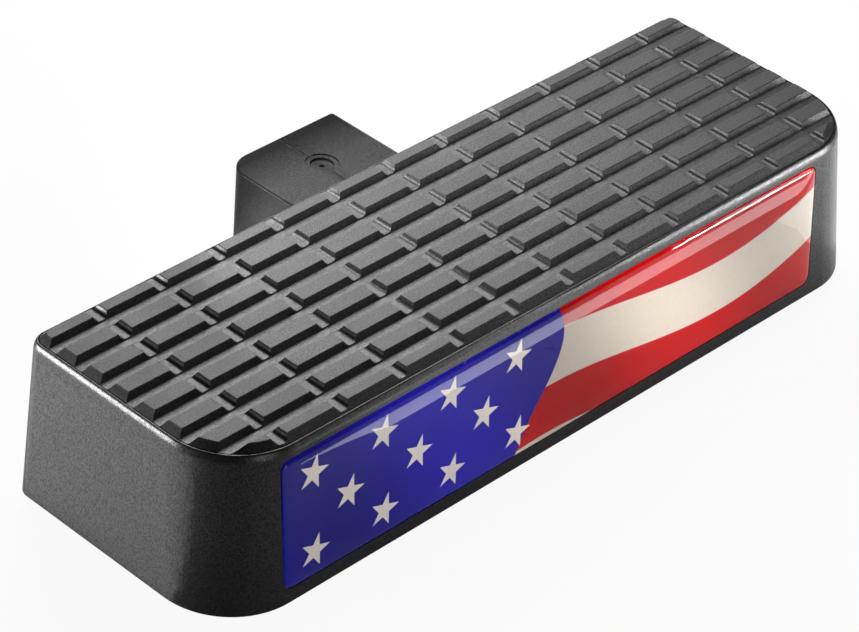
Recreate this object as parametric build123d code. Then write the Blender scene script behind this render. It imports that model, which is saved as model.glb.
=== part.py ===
from build123d import *
import os

# Receiver shank in millimetres, with the origin at the centre of its pin hole
shank_size = 50.4
shank_wall = 5.0
shank_web = 4.0
shank_end = 21.0
shank_left_r = 9.0
shank_right_r = 1.4
shank_edge_r = 1.1
shank_root_r = 3.0

# Hitch pin and its running clearance
pin_d = 15.875
pin_clearance = 0.31

# Gate mark and sink line on top of the shank
gate_ring_d = 12.0
gate_ring_depth = 0.4
gate_cup_d = 8.4
gate_cup_depth = 1.1
gate_dot_d = 1.8
gate_dot_depth = 0.6
sink_r = 4.0
sink_depth = 0.3

# Step shell: plan at the rim, height, and how far each wall flares towards the bottom
step_length = 301.0
step_depth = 92.6
step_height = 56.8
step_bottom = -19.8
step_back = -23.2
side_flare = 4.6
front_flare = 5.0
front_corner_r = 27.0
rear_corner_r = 6.0
rim_round_r = 1.1
wall = 4.0

# Ribs under the top plate
plate = 4.5
rib = 3.0
rib_pitch = 25.5
rib_rows = 2
rib_lift = 3.0

# Tread pad in its recess
lip = 1.2
pad_gap = 0.4
pad_base = 2.5
block_height = 2.4
block_edge_run = 2.2
row_pitch = 11.85
row_gap = 6.2
row_run = 1.4
column_pitch = 25.4
column_gap = 5.7
column_run = 1.0
column_depth = 1.9

# Badge on the front face
label_width = 251.0
label_height = 47.2
label_drop = 4.5
label_shift = -4.0
label_corner_r = 3.5
label_gap = 0.4
label_recess = 0.9
film = 0.3
dome_edge = 0.5
dome_rise = 1.5
dome_run = 10.0
dome_steps = 6

# Levels and edges that follow from the sizes above
rim_z = step_bottom + step_height
floor_z = rim_z - pad_base
plate_z = floor_z - plate
front_y = step_back - step_depth
half = shank_size / 2
reach = step_length / 2 + side_flare


def plan(z, inset=0.0):
    """Outline of the flared shell at height z, drawn in by inset."""
    t = (rim_z - z) / step_height
    x = step_length / 2 + side_flare * t - inset
    y0 = front_y - front_flare * t + inset
    y1 = step_back - inset
    front_r = front_corner_r - inset
    rear_r = max(rear_corner_r - inset, rim_round_r)
    shape = Pos(0, (y0 + y1) / 2) * Rectangle(2 * x, y1 - y0)
    shape = fillet(shape.vertices().group_by(Axis.Y)[0], front_r)
    shape = fillet(shape.vertices().group_by(Axis.Y)[-1], rear_r)
    return Pos(0, 0, z) * shape


def slab(x0, x1, y0, y1, z0, z1):
    """Plain block between two corners."""
    middle = Pos((x0 + x1) / 2, (y0 + y1) / 2, (z0 + z1) / 2)
    return middle * Box(x1 - x0, y1 - y0, z1 - z0)


def label_plane(depth):
    """Plane along the front face, sunk by depth, with its origin at the middle of the badge."""
    slope = Vector(0, front_flare, step_height).normalized()
    normal = Vector(0, -slope.Z, slope.Y)
    middle = slope * (label_drop + label_height / 2)
    origin = Vector(label_shift, front_y, rim_z) - middle - normal * depth
    return Plane(origin=origin, x_dir=(1, 0, 0), z_dir=normal)


def label_outline(depth, inset=0.0):
    """Rounded outline of the badge on its plane, drawn in by inset."""
    size = (label_width - 2 * inset, label_height - 2 * inset)
    return label_plane(depth) * RectangleRounded(*size, label_corner_r)


def rib_grid(cavity):
    """Cross ribs in line with the shank's walls and web, and long ribs between front and back."""
    low = step_bottom + rib_lift
    y0 = front_y - front_flare
    first = half - shank_wall / 2
    places = [(0.0, shank_web), (first, shank_wall), (-first, shank_wall)]
    room = step_length / 2 - wall - first
    for k in range(1, int(room // rib_pitch) + 1):
        x = first + k * rib_pitch
        places += [(x, rib), (-x, rib)]
    bars = [slab(x - w / 2, x + w / 2, y0, step_back, low, plate_z) for x, w in places]
    inner = step_depth - 2 * wall
    for k in range(1, rib_rows + 1):
        y = front_y + wall + inner * k / (rib_rows + 1)
        bars.append(slab(-reach, reach, y - rib / 2, y + rib / 2, low, plate_z))
    grid = bars[0].fuse(*bars[1:])
    return grid & cavity


def shank_solid():
    """Square shank with one wide and one tight rear corner, starting inside the back wall."""
    bar = slab(-half, half, step_back - wall, shank_end, -half, half)
    for side, r in ((0, shank_left_r), (-1, shank_right_r)):
        upright = bar.edges().filter_by(Axis.Z).group_by(Axis.Y)[-1].sort_by(Axis.X)[side]
        bar = fillet(upright, r)
    top = bar.faces().sort_by(Axis.Z)[-1].edges()
    return fillet(top.sort_by(Axis.Y)[1:], shank_edge_r)


def rooted(body):
    """Fillet where the shank's top and sides leave the back wall."""
    def at_root(edge):
        at = edge.center()
        return abs(at.X) < half + 0.01 and step_bottom < at.Z < half + 0.01
    on_wall = body.edges().filter_by_position(Axis.Y, step_back - 0.01, step_back + 0.01)
    return fillet(on_wall.filter_by(at_root), shank_root_r)


def shank_pockets():
    """Two pockets from below, one each side of the web."""
    x1 = half - shank_wall
    right = slab(shank_web / 2, x1, step_back, shank_end - shank_wall, -half, half - shank_wall)
    return right + mirror(right, about=Plane.YZ)


def gate_mark():
    """Round gate recess with its vestige, and the sink line over the web."""
    steps = ((gate_ring_d, gate_ring_depth), (gate_cup_d, gate_cup_depth),
             (gate_dot_d, gate_cup_depth + gate_dot_depth))
    length = shank_end - step_back
    line = Rot(90, 0, 0) * Cylinder(sink_r, length)
    mark = Pos(0, step_back + length / 2, half + sink_r - sink_depth) * line
    for d, depth in steps:
        mark += Pos(0, 0, half - depth / 2) * Cylinder(d / 2, depth)
    return mark


def step_body():
    """Shell, ribs, shank and recesses as one moulding."""
    shell = loft([plan(step_bottom), plan(rim_z)], ruled=True)
    shell = fillet(shell.faces().sort_by(Axis.Z)[-1].edges(), rim_round_r)
    cavity = loft([plan(step_bottom, wall), plan(plate_z, wall)], ruled=True)
    body = rooted(shell + shank_solid()) - cavity + rib_grid(cavity)
    pin_hole = Rot(0, 90, 0) * Cylinder(pin_d / 2 + pin_clearance, 2 * shank_size)
    body = body - shank_pockets() - pin_hole - gate_mark()
    body -= extrude(plan(rim_z, lip), -pad_base)
    size = (label_width + 2 * label_gap, label_height + 2 * label_gap)
    seat = label_plane(label_recess) * RectangleRounded(*size, label_corner_r + label_gap)
    return body - extrude(seat, 2 * label_recess)


def groove(plane, at, top_width, run, depth):
    """Groove with sloping sides across the tread, sunk by depth from the block tops."""
    high = rim_z + block_height
    spare = block_height
    a = top_width / 2 - run
    b = top_width / 2 + run * spare / depth
    points = ((at - a, high - depth), (at + a, high - depth), (at + b, high + spare), (at - b, high + spare))
    return extrude(plane * Polygon(*points, align=None), reach, both=True)


def tread_pad():
    """Flat base with raised blocks, cut into rows and columns by sloping grooves."""
    edge = lip + pad_gap
    base = extrude(plan(rim_z, edge), -pad_base)
    top = Pos(0, 0, block_height) * plan(rim_z, edge + block_edge_run)
    pad = base + loft([plan(rim_z, edge), top], ruled=True)
    middle = step_back - step_depth / 2
    rows = int((step_depth / 2 - edge - block_edge_run - row_gap / 2) // row_pitch)
    columns = int((step_length / 2 - edge - block_edge_run - column_gap / 2) // column_pitch)
    cuts = [groove(Plane.YZ, middle + k * row_pitch, row_gap, row_run, block_height)
            for k in range(-rows, rows + 1)]
    cuts += [groove(Plane.XZ, k * column_pitch, column_gap, column_run, column_depth)
             for k in range(-columns, columns + 1)]
    return pad.cut(*cuts)


def label_film():
    """Printed film on the floor of its recess."""
    return extrude(label_outline(label_recess), film)


def label_dome():
    """Clear lens with a rounded, rising edge, on the film."""
    seat = label_recess - film
    sections = [label_outline(seat)]
    quarter = Vector(1, 0, 0)
    for k in range(dome_steps + 1):
        turned = quarter.rotate(Axis.Z, 90 * k / dome_steps)
        inset = dome_run * (1 - turned.X)
        sections.append(label_outline(seat - dome_edge - dome_rise * turned.Y, inset))
    return loft(sections, ruled=True)


os.makedirs("parts", exist_ok=True)
for make in (step_body, tread_pad, label_film, label_dome):
    export_step(make(), f"parts/{make.__name__}.step")
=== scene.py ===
"""Looks of a moulded hitch receiver step: grained body, block tread and a domed, printed badge."""

import math

import bmesh
import bpy
from bpy.props import FloatProperty, FloatVectorProperty, IntProperty, PointerProperty
from mathutils import Matrix, Vector


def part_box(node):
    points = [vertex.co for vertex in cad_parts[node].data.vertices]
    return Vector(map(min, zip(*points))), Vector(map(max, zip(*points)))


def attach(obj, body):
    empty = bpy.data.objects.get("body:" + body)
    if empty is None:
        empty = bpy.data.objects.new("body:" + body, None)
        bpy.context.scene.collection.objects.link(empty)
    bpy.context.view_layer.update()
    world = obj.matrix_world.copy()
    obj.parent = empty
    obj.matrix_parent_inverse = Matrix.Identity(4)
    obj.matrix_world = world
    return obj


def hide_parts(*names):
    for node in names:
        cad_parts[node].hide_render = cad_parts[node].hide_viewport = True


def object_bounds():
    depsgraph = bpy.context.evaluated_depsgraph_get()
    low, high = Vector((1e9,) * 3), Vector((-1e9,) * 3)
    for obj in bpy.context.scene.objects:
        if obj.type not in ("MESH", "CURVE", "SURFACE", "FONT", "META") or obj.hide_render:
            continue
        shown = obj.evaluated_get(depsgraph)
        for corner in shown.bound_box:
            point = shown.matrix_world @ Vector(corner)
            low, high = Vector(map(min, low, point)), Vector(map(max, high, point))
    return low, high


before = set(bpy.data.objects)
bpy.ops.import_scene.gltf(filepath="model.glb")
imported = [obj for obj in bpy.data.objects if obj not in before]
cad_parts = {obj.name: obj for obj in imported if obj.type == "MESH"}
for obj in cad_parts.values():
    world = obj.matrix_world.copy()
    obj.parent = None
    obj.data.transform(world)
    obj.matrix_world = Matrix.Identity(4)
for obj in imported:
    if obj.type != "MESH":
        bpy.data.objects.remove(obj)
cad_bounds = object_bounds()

bl_info = {
    "name": "Hitch receiver step",
    "version": (1, 0, 0),
    "blender": (4, 5, 0),
    "location": "3D View > Sidebar > Step",
    "description": "Builds the looks of a moulded hitch receiver step on its solid model",
    "category": "Add Mesh",
}

BODY = "root"

pad_low, pad_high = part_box("tread_pad")
film_low, film_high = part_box("label_film")
rim_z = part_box("step_body")[1].z

# Segments of each rounding
PLAN_STEPS = 14
BADGE_STEPS = 10
FOOT_STEPS = 8
SHOULDER_STEPS = 4
DOME_STEPS = 16
ROLL_STEPS = 6
SOFT_STEPS = 2

# Distance at which points merge, least plan radius, and angles that count as flat, soft or sharp
WELD = 2e-6
LEAST_CORNER = 0.0008
FLAT = math.radians(0.4)
SOFT = math.radians(35)
SHARP = math.radians(28)
DOME_SHARP = math.radians(40)

# Grain of each finish: noise scale, detail and roughness
BODY_GRAIN = (1500.0, 3.0, 0.6)
BODY_CLOUD = (60.0, 4.0, 0.6)
TREAD_GRAIN = (1800.0, 3.0, 0.6)
TREAD_CLOUD = (45.0, 3.0, 0.55)
FILM_GRAIN = (900.0, 2.0, 0.5)
STAR_GRAIN = (700.0, 2.0, 0.5)
DOME_PEEL = (90.0, 1.0, 0.4)
FLOOR_SPECK = (30.0, 2.0, 0.5)

# Parts of a noise's range that are put to use
WHOLE = (0.0, 1.0)
MIDDLE = (0.3, 0.7)
CORE = (0.36, 0.64)

# Darkest and lightest share of each colour
BODY_TONE = (0.82, 1.2)
TREAD_TONE = (0.86, 1.14)
FILM_TONE = (0.97, 1.03)
STAR_TONE = (0.92, 1.04)
FLOOR_TONE = (0.98, 1.02)

# Sheen and roughness at both ends of the grain
BODY_SHEEN = (0.20, 0.54)
BODY_ROUGH = (0.28, 0.33)
SHANK_ROUGH = (0.26, 0.32)
TREAD_SHEEN = (0.28, 0.72)
TREAD_ROUGH = (0.32, 0.37)
INK_ROUGH = (0.50, 0.60)
DOME_ROUGH = (0.01, 0.02)
DOME_IOR = 1.45
FLOOR_ROUGH = (0.85, 0.95)

# Relief of each grain: strength and depth in metres
BODY_BUMP = (0.55, 0.00008)
TREAD_BUMP = (0.35, 0.00005)
DOME_BUMP = (0.006, 0.0001)
SHANK_SMOOTH = -0.75

# Shank's finish: where it starts and fades along Y, and its sink line across X, with shares of the sheen
SHANK_ROOT = (-0.0235, -0.0205)
SHANK_FADE = (0.000, 0.017)
SHANK_DULL = (0.25, 0.02)
SINK_LINE = (0.0004, 0.0034)
SINK_DULL = (0.55, 1.0)
SINK_WANDER = 0.0004

# Tread's finish: heights from the block tops at which the tops begin and the groove floors end
TOP_BAND = (-0.0004, -0.0001)
FLOOR_BAND = (-0.0019, -0.0016)
TOP_ROUGHER = 0.18
FLOOR_ROUGHER = 0.07
FLOOR_DULLER = -0.18

# Print, in halves of the film: waves and bands, creases that shade them, and the blue field's curved border
WAVE_RATE = 3.4
WAVE_START = -0.9
WAVE_HEIGHT = 0.42
BAND_FALL = -0.55
BAND_RATE = 0.62
BAND_START = 10.30
BAND_SPLIT = 0.52
CREASE_RISE = 0.7
CREASE_RATE = 2.2
CREASE_START = 0.6
CREASE_SHADE = (0.55, 1.0)
BORDER_RATE = 1.7
BORDER_START = 0.5
BORDER_SWING = 0.09
BORDER_PLACE = -0.10

# Star: its points, and its inner radius as a share of the outer one
STAR_POINTS = 5
STAR_WAIST = 0.382

# Floor: half its width, its cells, how white the camera sees it, and how far light panels lie above it
FLOOR_HALF = 4.0
FLOOR_CELLS = 8
PAPER = 0.93
PANEL_LIFT = 0.0006

# Camera: sensor width in millimetres and nearest clear distance in metres
SENSOR = 36.0
NEAREST = 0.01

# Lamps: place, aim and size
LAMPS = (
    ("key", (0.24, 0.26, 0.42), (0.0, -0.06, 0.03), (0.36, 0.24)),
    ("back", (0.45, 0.60, 0.08), (0.0, -0.06, 0.03), (0.50, 0.20)),
    ("low", (-0.042, 0.024, 0.088), (0.12, -0.07, 0.037), (0.12, 0.05)),
    ("sill", (-0.442, 0.152, 0.108), (-0.05, -0.07, 0.037), (0.20, 0.05)),
    ("crest", (-0.506, 0.309, 0.004), (-0.13, -0.03, 0.004), (0.30, 0.05)),
    ("brim", (0.478, -0.459, -0.004), (0.12, -0.11, -0.004), (0.20, 0.016)),
    ("edge", (0.27, -0.05, 0.40), (0.0, -0.07, 0.037), (0.10, 0.10)),
    ("side", (0.41, -0.37, 0.13), (0.12, -0.08, 0.03), (0.16, 0.16)),
    ("front", (-0.23, -0.98, 0.14), (0.0, -0.12, 0.01), (0.35, 0.35)),
)

# Light panels that lie on the floor: place and size
FLOOR_PANELS = (
    ("panel", -0.240, 0.018, (0.16, 0.22)),
    ("heel", -0.235, 0.060, (0.10, 0.10)),
    ("nook", -0.063, 0.015, (0.07, 0.07)),
    ("wing", 0.215, -0.105, (0.10, 0.14)),
    ("gloss", 0.210, -0.232, (0.46, 0.075)),
)


def length(name, default, description):
    """Length property in metres."""
    return FloatProperty(name=name, description=description, default=default, unit="LENGTH", precision=5)


def angle(name, default, description):
    """Angle property in radians."""
    return FloatProperty(name=name, description=description, default=default, subtype="ANGLE")


def count(name, default, description):
    """Whole number property."""
    return IntProperty(name=name, description=description, default=default, min=1)


def colour(name, default, description):
    """Linear colour property."""
    return FloatVectorProperty(name=name, description=description, default=default, size=3,
                               subtype="COLOR", min=0.0, max=1.0)


def power(name, default, description):
    """Lamp power property in watts."""
    return FloatProperty(name=name, description=description, default=default, unit="POWER")


class BodySizes(bpy.types.PropertyGroup):
    """Sizes of the moulded body's edges."""

    rim_round: length("Rim round", 0.0011, "Radius at the rim's top edge")
    roll: length("Roll", 0.0032, "Height over which the walls roll in towards the rim")
    lean: length("Lean", 0.00035, "How far the walls have rolled in where the rim's round starts")
    soft: length("Soft edge", 0.00025, "Width of the softened edges")


class TreadSizes(bpy.types.PropertyGroup):
    """Sizes of the tread pad."""

    front_corner: length("Front corner", 0.0254, "Plan radius of the pad's front corners")
    rear_corner: length("Rear corner", 0.0044, "Plan radius of the pad's rear corners")
    base: length("Base", 0.0025, "Thickness of the pad below its blocks")
    edge_run: length("Edge run", 0.0022, "How far the blocks slope in at the pad's outline")
    rows: count("Row grooves", 7, "Grooves along the pad")
    row_pitch: length("Row pitch", 0.01185, "Distance between row grooves")
    row_gap: length("Row gap", 0.0062, "Width of a row groove at the block tops")
    row_run: length("Row run", 0.0014, "How far a row groove's side slopes")
    columns: count("Column grooves", 11, "Grooves across the pad")
    column_pitch: length("Column pitch", 0.0254, "Distance between column grooves")
    column_gap: length("Column gap", 0.0057, "Width of a column groove at the block tops")
    column_run: length("Column run", 0.0009, "How far a column groove's side slopes")
    column_depth: length("Column depth", 0.0019, "Depth of a column groove")
    shoulder: length("Shoulder", 0.00045, "Rounding of the blocks' top edges")
    row_foot: length("Row foot", 0.0008, "Rounding where a row groove's side meets its floor")
    column_foot: length("Column foot", 0.0018, "Rounding where a column groove's side meets its floor")


class BadgeSizes(bpy.types.PropertyGroup):
    """Sizes of the printed badge."""

    tilt: angle("Tilt", math.atan2(0.0050, 0.0568), "Lean of the front face")
    corner: length("Corner", 0.0035, "Corner radius of the badge")
    film: length("Film", 0.0003, "Thickness of the printed film")
    sink: length("Sink", 0.00005, "How far the dome's underside reaches into the film")
    edge: length("Edge", 0.0005, "Height of the dome's upright edge")
    rise: length("Rise", 0.0015, "Rise of the dome above its edge")
    run: length("Run", 0.0100, "Width of the dome's rounded border")
    star: length("Star", 0.0064, "Outer radius of a printed star")
    star_rows: count("Star rows", 3, "Rows of stars")
    star_columns: count("Stars in a row", 4, "Stars in the top row; every second row has one less")
    star_margin: length("Star margin", 0.0125, "Distance of the first star from the film's left end")
    star_pitch: length("Star pitch", 0.0300, "Distance between stars in a row")
    star_rise: length("Star row pitch", 0.0145, "Distance between rows of stars")
    ink: length("Ink", 0.00002, "Thickness of the stars' ink")


class Finishes(bpy.types.PropertyGroup):
    """Colours of the pieces."""

    body: colour("Body", (0.009, 0.009, 0.0094), "Moulded body")
    tread: colour("Tread", (0.010, 0.010, 0.0104), "Tread pad")
    blue: colour("Blue", (0.014, 0.010, 0.310), "Blue field of the print")
    red: colour("Red", (0.470, 0.003, 0.005), "Red bands of the print")
    cream: colour("Cream", (0.690, 0.635, 0.545), "Pale bands and stars of the print")
    floor: colour("Floor", (0.680, 0.680, 0.680), "Studio floor")


class StageSizes(bpy.types.PropertyGroup):
    """Camera and lamps."""

    azimuth: angle("Azimuth", math.radians(-48.2726), "Camera's turn about the vertical")
    elevation: angle("Elevation", math.radians(36.0298), "Camera's height angle")
    roll: angle("Roll", math.radians(4.7621), "Camera's turn about its axis")
    across: length("Across", 0.0381485, "Camera's offset to its right")
    upward: length("Upward", -0.0314415, "Camera's offset along its own up")
    distance: length("Distance", 1.2339703, "Camera's distance along its axis")
    lens: FloatProperty(name="Focal length", description="In millimetres", default=150.708, unit="CAMERA")
    key: power("Key", 3.15, "Lamp above the tread, behind")
    back: power("Back", 2.2, "Low lamp behind on the right")
    low: power("Low", 0.22, "Small lamp behind the tread's left end")
    sill: power("Sill", 0.14, "Dim lamp behind on the left, just above the tread")
    crest: power("Crest", 5.0, "Standing light strip behind on the left")
    brim: power("Brim", 2.0, "Standing light strip in front on the right")
    edge: power("Edge", 0.6, "Lamp above the tread, on the right")
    side: power("Side", 0.36, "Lamp at the front on the right")
    front: power("Front", 1.15, "Low lamp in front")
    panel: power("Panel", 0.17, "Light panel on the floor by the step")
    heel: power("Heel", 0.05, "Light panel on the floor behind the step's side")
    nook: power("Nook", 0.06, "Light panel on the floor by the shank")
    wing: power("Wing", 0.04, "Light panel on the floor by the right end")
    gloss: power("Gloss", 0.40, "Light panel on the floor in front")
    ambient: FloatProperty(name="Ambient", description="Level of the even light", default=0.05, min=0.0)


def new_piece(name, mesh):
    """Object at the origin for a finished mesh."""
    piece = bpy.data.objects.new(name, mesh)
    bpy.context.scene.collection.objects.link(piece)
    return piece


def mesh_from(name, bm):
    """Mesh data from a bmesh, with its faces turned outwards."""
    bmesh.ops.recalc_face_normals(bm, faces=bm.faces)
    mesh = bpy.data.meshes.new(name)
    bm.to_mesh(mesh)
    bm.free()
    return mesh


def plain_mesh(piece):
    """Turn a piece's live modifiers into plain mesh."""
    mesh = bpy.data.meshes.new_from_object(piece.evaluated_get(bpy.context.evaluated_depsgraph_get()))
    piece.modifiers.clear()
    old = piece.data
    piece.data = mesh
    bpy.data.meshes.remove(old)
    mesh.name = piece.name
    return mesh


def settle(piece, sharp=SHARP):
    """Make a piece plain mesh and shade it smooth between sharp edges."""
    plain_mesh(piece).set_sharp_from_angle(angle=sharp)


def even_normals(piece):
    """Let large flat faces keep flat shading next to small roundings."""
    even = piece.modifiers.new("Even normals", "WEIGHTED_NORMAL")
    even.keep_sharp = True
    even.weight = 100
    plain_mesh(piece)


def finish_piece(piece, slot, *nodes):
    """Tie a piece to the body and hide the solids it stands for; slot is not used."""
    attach(piece, BODY)
    if nodes:
        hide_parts(*nodes)


def rounded_outline(low, high, inset, front_r, rear_r, steps):
    """Points of a rectangle with rounded corners, drawn in by inset, anticlockwise, as (x, y)."""
    x0, y0 = (a + inset for a in low)
    x1, y1 = (a - inset for a in high)
    corners = ((x1 - front_r, y0 + front_r, front_r, -90), (x1 - rear_r, y1 - rear_r, rear_r, 0),
               (x0 + rear_r, y1 - rear_r, rear_r, 90), (x0 + front_r, y0 + front_r, front_r, 180))
    points = []
    for cx, cy, r, start in corners:
        for k in range(steps + 1):
            a = math.radians(start + 90 * k / steps)
            points.append((cx + r * math.cos(a), cy + r * math.sin(a)))
    return points


def arc_corner(before, at, after, radius, steps):
    """Points of an arc that rounds the corner at between two straight runs."""
    a = (Vector(before) - Vector(at)).normalized()
    b = (Vector(after) - Vector(at)).normalized()
    half = a.angle(b) / 2
    reach = radius / math.tan(half)
    centre = Vector(at) + (a + b).normalized() * (radius / math.sin(half))
    start = Vector(at) + a * reach - centre
    end = Vector(at) + b * reach - centre
    turn = start.angle_signed(end)
    return [tuple(centre + Matrix.Rotation(-turn * k / steps, 2) @ start) for k in range(steps + 1)]


def stacked_piece(name, loops):
    """Closed piece from loops of points of equal length, capped at both ends."""
    bm = bmesh.new()
    rings = [[bm.verts.new(p) for p in loop] for loop in loops]
    for low, high in zip(rings, rings[1:]):
        for k in range(len(low)):
            n = (k + 1) % len(low)
            bm.faces.new((low[k], low[n], high[n], high[k]))
    bm.faces.new(reversed(rings[0]))
    bm.faces.new(rings[-1])
    return new_piece(name, mesh_from(name, bm))


class Bench:
    """Short ways to lay out a node tree."""

    def __init__(self, tree):
        self.tree = tree

    def node(self, kind, **settings):
        """New node with its settings."""
        node = self.tree.nodes.new(kind)
        for key, value in settings.items():
            setattr(node, key, value)
        return node

    def link(self, source, target):
        """Join an output to an input."""
        self.tree.links.new(source, target)

    def put(self, socket, value):
        """Join an output to an input, or set the input's own value."""
        if isinstance(value, bpy.types.NodeSocket):
            self.link(value, socket)
        else:
            socket.default_value = value

    def maths(self, operation, *values):
        """Result of one sum."""
        node = self.node("ShaderNodeMath", operation=operation)
        for socket, value in zip(node.inputs, values):
            self.put(socket, value)
        return node.outputs[0]


class ShaderBench(Bench):
    """Short ways to lay out a material's nodes."""

    def __init__(self, name):
        self.material = bpy.data.materials.new(name)
        self.material.use_nodes = True
        super().__init__(self.material.node_tree)
        self.shader = self.tree.nodes["Principled BSDF"]
        self.coords = self.node("ShaderNodeTexCoord").outputs["Object"]

    def set(self, **values):
        """Set or join the shader's own inputs."""
        for key, value in values.items():
            self.put(self.shader.inputs[key.replace("_", " ")], value)

    def split(self, vector):
        """Outputs for each axis of a vector."""
        node = self.node("ShaderNodeSeparateXYZ")
        self.link(vector, node.inputs[0])
        return node.outputs

    def noise(self, scale, detail, rough):
        """Noise over the object's own coordinates."""
        node = self.node("ShaderNodeTexNoise")
        self.link(self.coords, node.inputs["Vector"])
        node.inputs["Scale"].default_value = scale
        node.inputs["Detail"].default_value = detail
        node.inputs["Roughness"].default_value = rough
        return node.outputs["Fac"]

    def ranged(self, value, source, target):
        """Value carried over from one range to another."""
        node = self.node("ShaderNodeMapRange")
        self.link(value, node.inputs["Value"])
        node.inputs["From Min"].default_value, node.inputs["From Max"].default_value = source
        node.inputs["To Min"].default_value, node.inputs["To Max"].default_value = target
        return node.outputs[0]

    def mix(self, factor, a, b):
        """Blend of two colours."""
        node = self.node("ShaderNodeMix", data_type="RGBA")
        self.put(node.inputs["Factor"], factor)
        self.put(node.inputs[6], a)
        self.put(node.inputs[7], b)
        return node.outputs[2]

    def toned(self, factor, shade, tone):
        """One colour between its darkest and lightest share."""
        return self.mix(factor, rgba(shade, tone[0]), rgba(shade, tone[1]))

    def bump(self, height, strength, distance):
        """Relief on the shader's normal."""
        node = self.node("ShaderNodeBump")
        self.link(height, node.inputs["Height"])
        node.inputs["Strength"].default_value = strength
        node.inputs["Distance"].default_value = distance
        self.set(Normal=node.outputs[0])


def rgba(values, level=1.0):
    """Colour with alpha, at a share of its level."""
    return (*(v * level for v in values), 1.0)


def moulded_plastic(finishes):
    """Fine-grained body, smoother on the shank and duller towards the shank's end."""
    bench = ShaderBench("moulded plastic")
    at = bench.split(bench.coords)
    shank = bench.ranged(at["Y"], SHANK_ROOT, WHOLE)
    grain = bench.noise(*BODY_GRAIN)
    cloud = bench.noise(*BODY_CLOUD)
    grey = bench.toned(bench.ranged(grain, MIDDLE, WHOLE), finishes.body, BODY_TONE)
    sheen = bench.ranged(grain, CORE, BODY_SHEEN)
    far = bench.ranged(at["Y"], SHANK_FADE, SHANK_DULL)
    wander = bench.maths("MULTIPLY", cloud, SINK_WANDER)
    off = bench.maths("ABSOLUTE", bench.maths("ADD", at["X"], wander))
    sink = bench.ranged(off, SINK_LINE, SINK_DULL)
    dull = bench.maths("MULTIPLY_ADD", shank, bench.maths("MULTIPLY_ADD", far, sink, -1.0), 1.0)
    bench.set(Base_Color=grey, Specular_IOR_Level=bench.maths("MULTIPLY", sheen, dull))
    rough = bench.ranged(cloud, MIDDLE, BODY_ROUGH)
    gap = bench.maths("SUBTRACT", bench.ranged(cloud, MIDDLE, SHANK_ROUGH), rough)
    bench.set(Roughness=bench.maths("MULTIPLY_ADD", gap, shank, rough))
    height = bench.maths("MULTIPLY", grain, bench.maths("MULTIPLY_ADD", shank, SHANK_SMOOTH, 1.0))
    bench.bump(height, *BODY_BUMP)
    return bench.material


def tread_compound(finishes):
    """Fine-grained pad with rougher block tops and duller groove floors."""
    bench = ShaderBench("tread compound")
    grain = bench.noise(*TREAD_GRAIN)
    cloud = bench.noise(*TREAD_CLOUD)
    grey = bench.toned(bench.ranged(grain, MIDDLE, WHOLE), finishes.tread, TREAD_TONE)
    level = bench.split(bench.coords)["Z"]
    high = bench.ranged(level, [pad_high.z + a for a in TOP_BAND], WHOLE)
    low = bench.ranged(level, [pad_high.z + a for a in FLOOR_BAND], WHOLE[::-1])
    sheen = bench.ranged(grain, CORE, TREAD_SHEEN)
    dull = bench.maths("MULTIPLY_ADD", low, FLOOR_DULLER, 1.0)
    bench.set(Base_Color=grey, Specular_IOR_Level=bench.maths("MULTIPLY", sheen, dull))
    rough = bench.ranged(cloud, MIDDLE, TREAD_ROUGH)
    rough = bench.maths("MULTIPLY_ADD", low, FLOOR_ROUGHER, rough)
    bench.set(Roughness=bench.maths("MULTIPLY_ADD", high, TOP_ROUGHER, rough))
    bench.bump(grain, *TREAD_BUMP)
    return bench.material


def printed_film(finishes, centre, half):
    """Blue field beside waving pale and red bands."""
    bench = ShaderBench("printed film")
    place = bench.node("ShaderNodeMapping")
    place.inputs["Scale"].default_value = (1 / half.x, 1.0, 1 / half.z)
    place.inputs["Location"].default_value = (-centre.x / half.x, 0.0, -centre.z / half.z)
    bench.link(bench.coords, place.inputs["Vector"])
    at = bench.split(place.outputs[0])
    u = at["X"]
    v = at["Z"]
    phase = bench.maths("MULTIPLY_ADD", u, WAVE_RATE, WAVE_START)
    fall = bench.maths("MULTIPLY", u, BAND_FALL)
    lift = bench.maths("MULTIPLY_ADD", bench.maths("SINE", phase), WAVE_HEIGHT, fall)
    level = bench.maths("ADD", v, lift)
    band = bench.maths("FRACT", bench.maths("MULTIPLY_ADD", level, BAND_RATE, BAND_START))
    is_red = bench.maths("GREATER_THAN", band, BAND_SPLIT)
    bands = bench.mix(is_red, rgba(finishes.cream), rgba(finishes.red))
    turn = bench.maths("MULTIPLY_ADD", phase, CREASE_RATE, CREASE_START)
    crease = bench.maths("SINE", bench.maths("MULTIPLY_ADD", v, CREASE_RISE, turn))
    shade = bench.ranged(crease, (-1.0, 1.0), CREASE_SHADE)
    swing = bench.maths("SINE", bench.maths("MULTIPLY_ADD", v, BORDER_RATE, BORDER_START))
    border = bench.maths("MULTIPLY_ADD", swing, BORDER_SWING, BORDER_PLACE)
    is_blue = bench.maths("LESS_THAN", u, border)
    field = bench.mix(is_blue, bands, rgba(finishes.blue))
    ink = bench.noise(*FILM_GRAIN)
    shaded = bench.node("ShaderNodeVectorMath", operation="SCALE")
    bench.link(field, shaded.inputs[0])
    tone = bench.maths("MULTIPLY", shade, bench.ranged(ink, MIDDLE, FILM_TONE))
    bench.link(tone, shaded.inputs["Scale"])
    bench.set(Base_Color=shaded.outputs[0], Roughness=bench.ranged(ink, MIDDLE, INK_ROUGH))
    bench.set(Specular_IOR_Level=0.0)
    return bench.material


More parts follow.
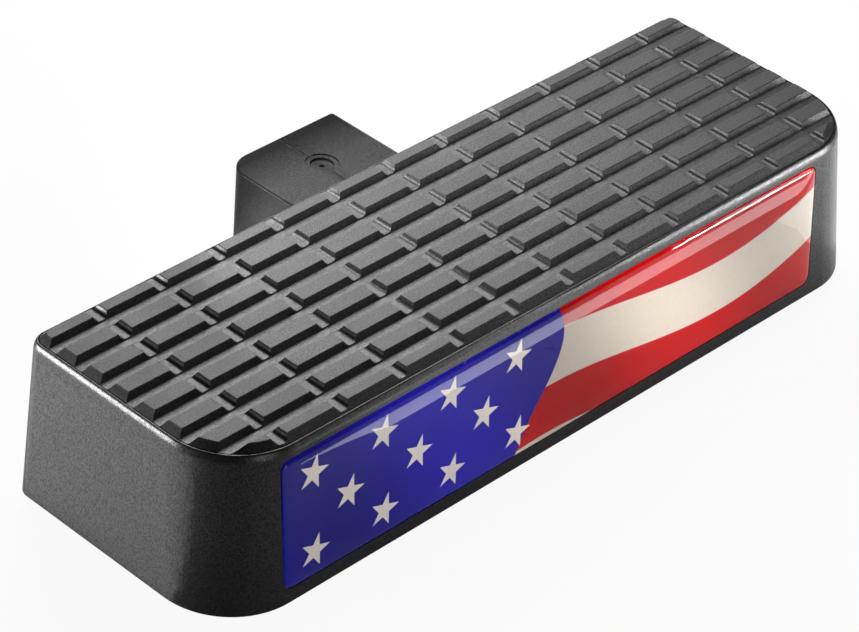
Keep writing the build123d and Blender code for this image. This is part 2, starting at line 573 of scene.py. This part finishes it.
def star_ink(finishes):
    """Pale ink of the stars."""
    bench = ShaderBench("star ink")
    ink = bench.noise(*STAR_GRAIN)
    bench.set(Base_Color=bench.toned(ink, finishes.cream, STAR_TONE))
    bench.set(Roughness=bench.ranged(ink, MIDDLE, INK_ROUGH), Specular_IOR_Level=0.0)
    return bench.material


def clear_dome():
    """Clear, polished casting."""
    bench = ShaderBench("clear dome")
    bench.set(Base_Color=(1.0, 1.0, 1.0, 1.0), Transmission_Weight=1.0, IOR=DOME_IOR)
    peel = bench.noise(*DOME_PEEL)
    bench.set(Roughness=bench.ranged(peel, MIDDLE, DOME_ROUGH))
    bench.bump(peel, *DOME_BUMP)
    return bench.material


def studio_floor(finishes):
    """Pale floor that the camera sees as white paper."""
    bench = ShaderBench("studio floor")
    speck = bench.noise(*FLOOR_SPECK)
    bench.set(Base_Color=bench.toned(speck, finishes.floor, FLOOR_TONE))
    bench.set(Roughness=bench.ranged(speck, WHOLE, FLOOR_ROUGH))
    seen = bench.node("ShaderNodeLightPath").outputs["Is Camera Ray"]
    paper = bench.node("ShaderNodeEmission")
    blend = bench.node("ShaderNodeMixShader")
    bench.link(bench.maths("MULTIPLY", seen, PAPER), blend.inputs[0])
    bench.link(bench.shader.outputs[0], blend.inputs[1])
    bench.link(paper.outputs[0], blend.inputs[2])
    bench.link(blend.outputs[0], bench.tree.nodes["Material Output"].inputs["Surface"])
    return bench.material


class NodeBench(Bench):
    """Short ways to lay out a Geometry Nodes tree."""

    def __init__(self, name, inputs):
        super().__init__(bpy.data.node_groups.new(name, "GeometryNodeTree"))
        for word, kind in (("Geometry", "Geometry"), *inputs, ("Material", "Material")):
            self.socket(word, kind, "INPUT")
        self.socket("Geometry", "Geometry", "OUTPUT")
        self.given = self.node("NodeGroupInput").outputs

    def socket(self, name, kind, side):
        """New input or output of the tree."""
        self.tree.interface.new_socket(name, in_out=side, socket_type="NodeSocket" + kind)

    def real(self, geometry):
        """Instances as plain mesh."""
        node = self.node("GeometryNodeRealizeInstances")
        self.link(geometry, node.inputs[0])
        return node.outputs[0]

    def copies(self, points, instance):
        """One plain copy on every point."""
        node = self.node("GeometryNodeInstanceOnPoints")
        self.link(points, node.inputs["Points"])
        self.link(instance, node.inputs["Instance"])
        return self.real(node.outputs[0])

    def centred_line(self, count, pitch, axis):
        """Points along an axis, centred on the origin."""
        line = self.node("GeometryNodeMeshLine")
        self.link(count, line.inputs["Count"])
        back = self.maths("MULTIPLY", self.maths("SUBTRACT", count, 1.0), -0.5)
        for value, name in ((self.maths("MULTIPLY", back, pitch), "Start Location"), (pitch, "Offset")):
            vector = self.node("ShaderNodeCombineXYZ")
            self.link(value, vector.inputs[axis])
            self.link(vector.outputs[0], line.inputs[name])
        return line.outputs[0]

    def paint(self, geometry):
        """Give the result its material and hand it out."""
        node = self.node("GeometryNodeSetMaterial")
        self.link(geometry, node.inputs["Geometry"])
        self.link(self.given["Material"], node.inputs["Material"])
        self.link(node.outputs[0], self.node("NodeGroupOutput").inputs[0])

    def give(self, piece, values):
        """Put the tree on a piece and set its inputs by their identifiers."""
        modifier = piece.modifiers.new(self.tree.name, "NODES")
        modifier.node_group = self.tree
        for item in self.tree.interface.items_tree:
            if item.in_out == "INPUT" and item.name in values:
                modifier[item.identifier] = values[item.name]


def tread_tree():
    """Cuts a blank into blocks with rows and columns of one groove each."""
    axes = {"Row": "Y", "Column": "X"}
    inputs = []
    for word in axes:
        inputs += [(word + " Groove", "Object"), (word + " Count", "Int"), (word + " Pitch", "Float")]
    bench = NodeBench("Tread blocks", inputs)
    cut = bench.node("GeometryNodeMeshBoolean", operation="DIFFERENCE", solver="EXACT")
    cut.inputs["Self Intersection"].default_value = True
    bench.link(bench.given["Geometry"], cut.inputs["Mesh 1"])
    for word, axis in axes.items():
        points = bench.centred_line(bench.given[word + " Count"], bench.given[word + " Pitch"], axis)
        tool = bench.node("GeometryNodeObjectInfo")
        bench.link(bench.given[word + " Groove"], tool.inputs["Object"])
        bench.link(bench.copies(points, tool.outputs["Geometry"]), cut.inputs["Mesh 2"])
    bench.paint(bench.real(cut.outputs["Mesh"]))
    return bench


def star_tree():
    """Sets a filled five-pointed star on every point."""
    bench = NodeBench("Printed stars", (("Outer Radius", "Float"), ("Ink", "Float")))
    outer = bench.given["Outer Radius"]
    star = bench.node("GeometryNodeCurveStar")
    star.inputs["Points"].default_value = STAR_POINTS
    bench.link(outer, star.inputs["Outer Radius"])
    bench.link(bench.maths("MULTIPLY", outer, STAR_WAIST), star.inputs["Inner Radius"])
    fill = bench.node("GeometryNodeFillCurve", mode="NGONS")
    bench.link(star.outputs[0], fill.inputs["Curve"])
    thick = bench.node("GeometryNodeExtrudeMesh")
    bench.link(fill.outputs[0], thick.inputs["Mesh"])
    bench.link(bench.given["Ink"], thick.inputs["Offset Scale"])
    bench.paint(bench.copies(bench.given["Geometry"], thick.outputs["Mesh"]))
    return bench


def groove_tool(name, gap, run, depth, foot_r, shoulder_r, along):
    """Prism in the shape of one groove, with rounded shoulders and feet, centred on the pad."""
    top = pad_high.z
    floor = top - depth
    foot = (gap / 2 - run, floor)
    shoulder = (gap / 2, top)
    half = arc_corner((0.0, floor), foot, shoulder, foot_r, FOOT_STEPS)
    half += arc_corner(foot, shoulder, (gap, top), shoulder_r, SHOULDER_STEPS)
    half.append((half[-1][0], top + depth))
    profile = half + [(-a, z) for a, z in reversed(half)]
    middle = (pad_low.y + pad_high.y) / 2
    span = pad_high.x - pad_low.x
    if along == "X":
        loops = [[(x, middle + a, z) for a, z in profile] for x in (-span, span)]
    else:
        loops = [[(a, middle + y, z) for a, z in profile] for y in (-span, span)]
    return stacked_piece(name, loops)


def roll_rim(bm, sizes):
    """Roll the outer walls in below the rim, so that they run smoothly into its round."""
    start = rim_z - sizes.roll
    foot = rim_z - sizes.rim_round
    for k in range(ROLL_STEPS):
        level = start + (foot - start) * k / ROLL_STEPS
        bmesh.ops.bisect_plane(bm, geom=[*bm.verts, *bm.edges, *bm.faces], dist=WELD / 2,
                               plane_co=(0.0, 0.0, level), plane_no=(0.0, 0.0, 1.0))
    bm.normal_update()
    middle = (pad_low + pad_high) / 2
    slope = 2 * sizes.lean / (foot - start) * sizes.rim_round
    moves = []
    for vert in bm.verts:
        out = Vector((vert.normal.x, vert.normal.y, 0.0))
        if vert.co.z <= start or out.dot(vert.co - middle) <= 0.0:
            continue
        if vert.co.z <= foot:
            inset = sizes.lean * ((vert.co.z - start) / (foot - start)) ** 2
        else:
            u = min((vert.co.z - foot) / sizes.rim_round, 1.0)
            inset = sizes.lean + slope * u - (sizes.lean + slope) * (1 - math.sqrt(1 - u * u))
        moves.append((vert, out.normalized() * inset))
    for vert, move in moves:
        vert.co -= move


class HITCHSTEP_OT_body(bpy.types.Operator):
    """Dress the moulded body: merged surfaces, a rolled rim, softened edges and a fine grain"""

    bl_idname = "hitch_step.body"
    bl_label = "Moulded body"

    def execute(self, context):
        sizes = context.scene.hitch_step_body
        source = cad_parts["step_body"].data
        bm = bmesh.new()
        verts = [bm.verts.new(v.co) for v in source.vertices]
        for polygon in source.polygons:
            bm.faces.new([verts[i] for i in polygon.vertices])
        bmesh.ops.remove_doubles(bm, verts=bm.verts, dist=WELD)
        bmesh.ops.recalc_face_normals(bm, faces=bm.faces)
        roll_rim(bm, sizes)
        bmesh.ops.dissolve_limit(bm, angle_limit=FLAT, verts=bm.verts, edges=bm.edges)
        piece = new_piece("body_shell", mesh_from("body_shell", bm))
        soft = piece.modifiers.new("Soft edges", "BEVEL")
        soft.width = sizes.soft
        soft.segments = SOFT_STEPS
        soft.limit_method = "ANGLE"
        soft.angle_limit = SOFT
        soft.use_clamp_overlap = True
        settle(piece)
        even_normals(piece)
        piece.data.materials.append(moulded_plastic(context.scene.hitch_step_finishes))
        finish_piece(piece, "body", "step_body")
        return {"FINISHED"}


class HITCHSTEP_OT_tread(bpy.types.Operator):
    """Cut the tread pad's blocks out of a sloped blank"""

    bl_idname = "hitch_step.tread"
    bl_label = "Tread pad"

    def execute(self, context):
        sizes = context.scene.hitch_step_tread
        base = pad_low.z + sizes.base
        top = pad_high.z
        run = sizes.edge_run
        slope = arc_corner((0.0, base), (run, top), (2 * run, top), sizes.shoulder, SHOULDER_STEPS)
        loops = []
        for inset, z in [(0.0, pad_low.z), (0.0, base)] + slope:
            rear_r = max(sizes.rear_corner - inset, LEAST_CORNER)
            outline = rounded_outline(pad_low.xy, pad_high.xy, inset, sizes.front_corner - inset,
                                      rear_r, PLAN_STEPS)
            loops.append([(x, y, z) for x, y in outline])
        piece = stacked_piece("tread", loops)
        row = groove_tool("row_groove", sizes.row_gap, sizes.row_run, top - base,
                          sizes.row_foot, sizes.shoulder, "X")
        column = groove_tool("column_groove", sizes.column_gap, sizes.column_run, sizes.column_depth,
                             sizes.column_foot, sizes.shoulder, "Y")
        tread_tree().give(piece, {
            "Row Groove": row, "Row Count": sizes.rows, "Row Pitch": sizes.row_pitch,
            "Column Groove": column, "Column Count": sizes.columns, "Column Pitch": sizes.column_pitch,
            "Material": tread_compound(context.scene.hitch_step_finishes)})
        settle(piece)
        even_normals(piece)
        for tool in (row, column):
            bpy.data.objects.remove(tool)
        finish_piece(piece, "tread", "tread_pad")
        return {"FINISHED"}


def badge_frame(tilt):
    """Matrix from the badge's own plane, up its face, to the part."""
    centre = (film_low + film_high) / 2
    right = Vector((1.0, 0.0, 0.0))
    up = Vector((0.0, math.sin(tilt), math.cos(tilt)))
    out = right.cross(up)
    turn = Matrix((right, up, out)).transposed().to_4x4()
    return Matrix.Translation(centre) @ turn


class HITCHSTEP_OT_print(bpy.types.Operator):
    """Print the film and set its stars"""

    bl_idname = "hitch_step.print"
    bl_label = "Printed film"

    def execute(self, context):
        sizes = context.scene.hitch_step_badge
        finishes = context.scene.hitch_step_finishes
        centre = (film_low + film_high) / 2
        half = (film_high - film_low) / 2
        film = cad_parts["label_film"]
        film.data.materials.clear()
        film.data.materials.append(printed_film(finishes, centre, half))
        points = []
        for row in range(sizes.star_rows):
            left = sizes.star_margin - half.x + sizes.star_pitch / 2 * (row % 2)
            rise = ((sizes.star_rows - 1) / 2 - row) * sizes.star_rise
            for k in range(sizes.star_columns - row % 2):
                points.append((left + k * sizes.star_pitch, rise, sizes.film / 2))
        mesh = bpy.data.meshes.new("stars")
        mesh.from_pydata(points, [], [])
        stars = new_piece("stars", mesh)
        star_tree().give(stars, {
            "Outer Radius": sizes.star, "Ink": sizes.ink, "Material": star_ink(finishes)})
        settle(stars)
        stars.data.transform(badge_frame(sizes.tilt))
        finish_piece(stars, "print")
        return {"FINISHED"}


class HITCHSTEP_OT_dome(bpy.types.Operator):
    """Cast the clear dome over the film"""

    bl_idname = "hitch_step.dome"
    bl_label = "Clear dome"

    def execute(self, context):
        sizes = context.scene.hitch_step_badge
        half_width = (film_high.x - film_low.x) / 2
        half_height = (film_high.z - film_low.z) / 2 / math.cos(sizes.tilt)
        base = sizes.film / 2
        brow = base + sizes.edge
        levels = [(0.0, base - sizes.sink), (0.0, brow)]
        for k in range(1, DOME_STEPS + 1):
            a = math.radians(90 * k / DOME_STEPS)
            levels.append((sizes.run * (1 - math.cos(a)), brow + sizes.rise * math.sin(a)))
        loops = []
        for inset, z in levels:
            outline = rounded_outline((-half_width, -half_height), (half_width, half_height), inset,
                                      sizes.corner, sizes.corner, BADGE_STEPS)
            loops.append([(x, y, z) for x, y in outline])
        piece = stacked_piece("dome", loops)
        settle(piece, DOME_SHARP)
        even_normals(piece)
        piece.data.transform(badge_frame(sizes.tilt))
        piece.data.materials.append(clear_dome())
        piece.visible_shadow = False
        finish_piece(piece, "lens", "label_dome")
        return {"FINISHED"}


def area_lamp(name, at, aim, size, watts):
    """Soft oblong lamp at a place, turned to its aim."""
    data = bpy.data.lights.new(name, "AREA")
    data.shape = "RECTANGLE"
    data.size, data.size_y = size
    data.energy = watts
    lamp = bpy.data.objects.new(name, data)
    lamp.location = at
    lamp.rotation_euler = (Vector(at) - Vector(aim)).to_track_quat("Z", "Y").to_euler()
    bpy.context.scene.collection.objects.link(lamp)


def place_camera(scene, sizes):
    """Camera at its angles, shifted along its own axes."""
    a = sizes.azimuth
    e = sizes.elevation
    back = Vector((math.sin(a) * math.cos(e), -math.cos(a) * math.cos(e), math.sin(e)))
    level = Vector((0.0, 0.0, 1.0)).cross(back).normalized()
    rise = back.cross(level)
    right = level * math.cos(sizes.roll) + rise * math.sin(sizes.roll)
    up = rise * math.cos(sizes.roll) - level * math.sin(sizes.roll)
    data = bpy.data.cameras.new("camera")
    data.sensor_width = SENSOR
    data.lens = sizes.lens
    data.clip_start = NEAREST
    camera = bpy.data.objects.new("camera", data)
    place = right * sizes.across + up * sizes.upward + back * sizes.distance
    camera.matrix_world = Matrix.Translation(place) @ Matrix((right, up, back)).transposed().to_4x4()
    scene.collection.objects.link(camera)
    scene.camera = camera


class HITCHSTEP_OT_stage(bpy.types.Operator):
    """Set the floor, the lamps and the camera"""

    bl_idname = "hitch_step.stage"
    bl_label = "Stage"

    def execute(self, context):
        scene = context.scene
        sizes = scene.hitch_step_stage
        ground = cad_bounds[0][2]
        scene.view_settings.view_transform = "Standard"
        bm = bmesh.new()
        bmesh.ops.create_grid(bm, x_segments=FLOOR_CELLS, y_segments=FLOOR_CELLS, size=FLOOR_HALF)
        bmesh.ops.translate(bm, verts=bm.verts, vec=(0.0, 0.0, ground))
        floor = new_piece("floor", mesh_from("floor", bm))
        floor.data.materials.append(studio_floor(scene.hitch_step_finishes))
        for name, at, aim, size in LAMPS:
            area_lamp(name, at, aim, size, getattr(sizes, name))
        for name, x, y, size in FLOOR_PANELS:
            area_lamp(name, (x, y, ground + PANEL_LIFT), (x, y, 1.0), size, getattr(sizes, name))
        world = bpy.data.worlds.new("studio")
        world.use_nodes = True
        sky = world.node_tree.nodes["Background"]
        sky.inputs["Color"].default_value = (1.0, 1.0, 1.0, 1.0)
        sky.inputs["Strength"].default_value = sizes.ambient
        scene.world = world
        place_camera(scene, sizes)
        return {"FINISHED"}


PIECES = (HITCHSTEP_OT_body, HITCHSTEP_OT_tread, HITCHSTEP_OT_print, HITCHSTEP_OT_dome, HITCHSTEP_OT_stage)

GROUPS = {
    "hitch_step_body": BodySizes,
    "hitch_step_tread": TreadSizes,
    "hitch_step_badge": BadgeSizes,
    "hitch_step_finishes": Finishes,
    "hitch_step_stage": StageSizes,
}


class HITCHSTEP_PT_panel(bpy.types.Panel):
    """Lists the pieces and their sizes"""

    bl_idname = "HITCHSTEP_PT_panel"
    bl_label = "Hitch receiver step"
    bl_space_type = "VIEW_3D"
    bl_region_type = "UI"
    bl_category = "Step"

    def draw(self, context):
        for piece in PIECES:
            self.layout.operator(piece.bl_idname)
        for group, cls in GROUPS.items():
            for name in cls.__annotations__:
                self.layout.prop(getattr(context.scene, group), name)


CLASSES = (*GROUPS.values(), *PIECES, HITCHSTEP_PT_panel)


def register():
    """Add the classes and their settings to Blender."""
    for cls in CLASSES:
        bpy.utils.register_class(cls)
    for name, cls in GROUPS.items():
        setattr(bpy.types.Scene, name, PointerProperty(type=cls))


def unregister():
    """Take the classes and their settings out again."""
    for name in GROUPS:
        delattr(bpy.types.Scene, name)
    for cls in reversed(CLASSES):
        bpy.utils.unregister_class(cls)


def main():
    """Build every piece and set the stage."""
    register()
    bpy.ops.hitch_step.body()
    bpy.ops.hitch_step.tread()
    bpy.ops.hitch_step.print()
    bpy.ops.hitch_step.dome()
    bpy.ops.hitch_step.stage()


if __name__ == "__main__":
    main()
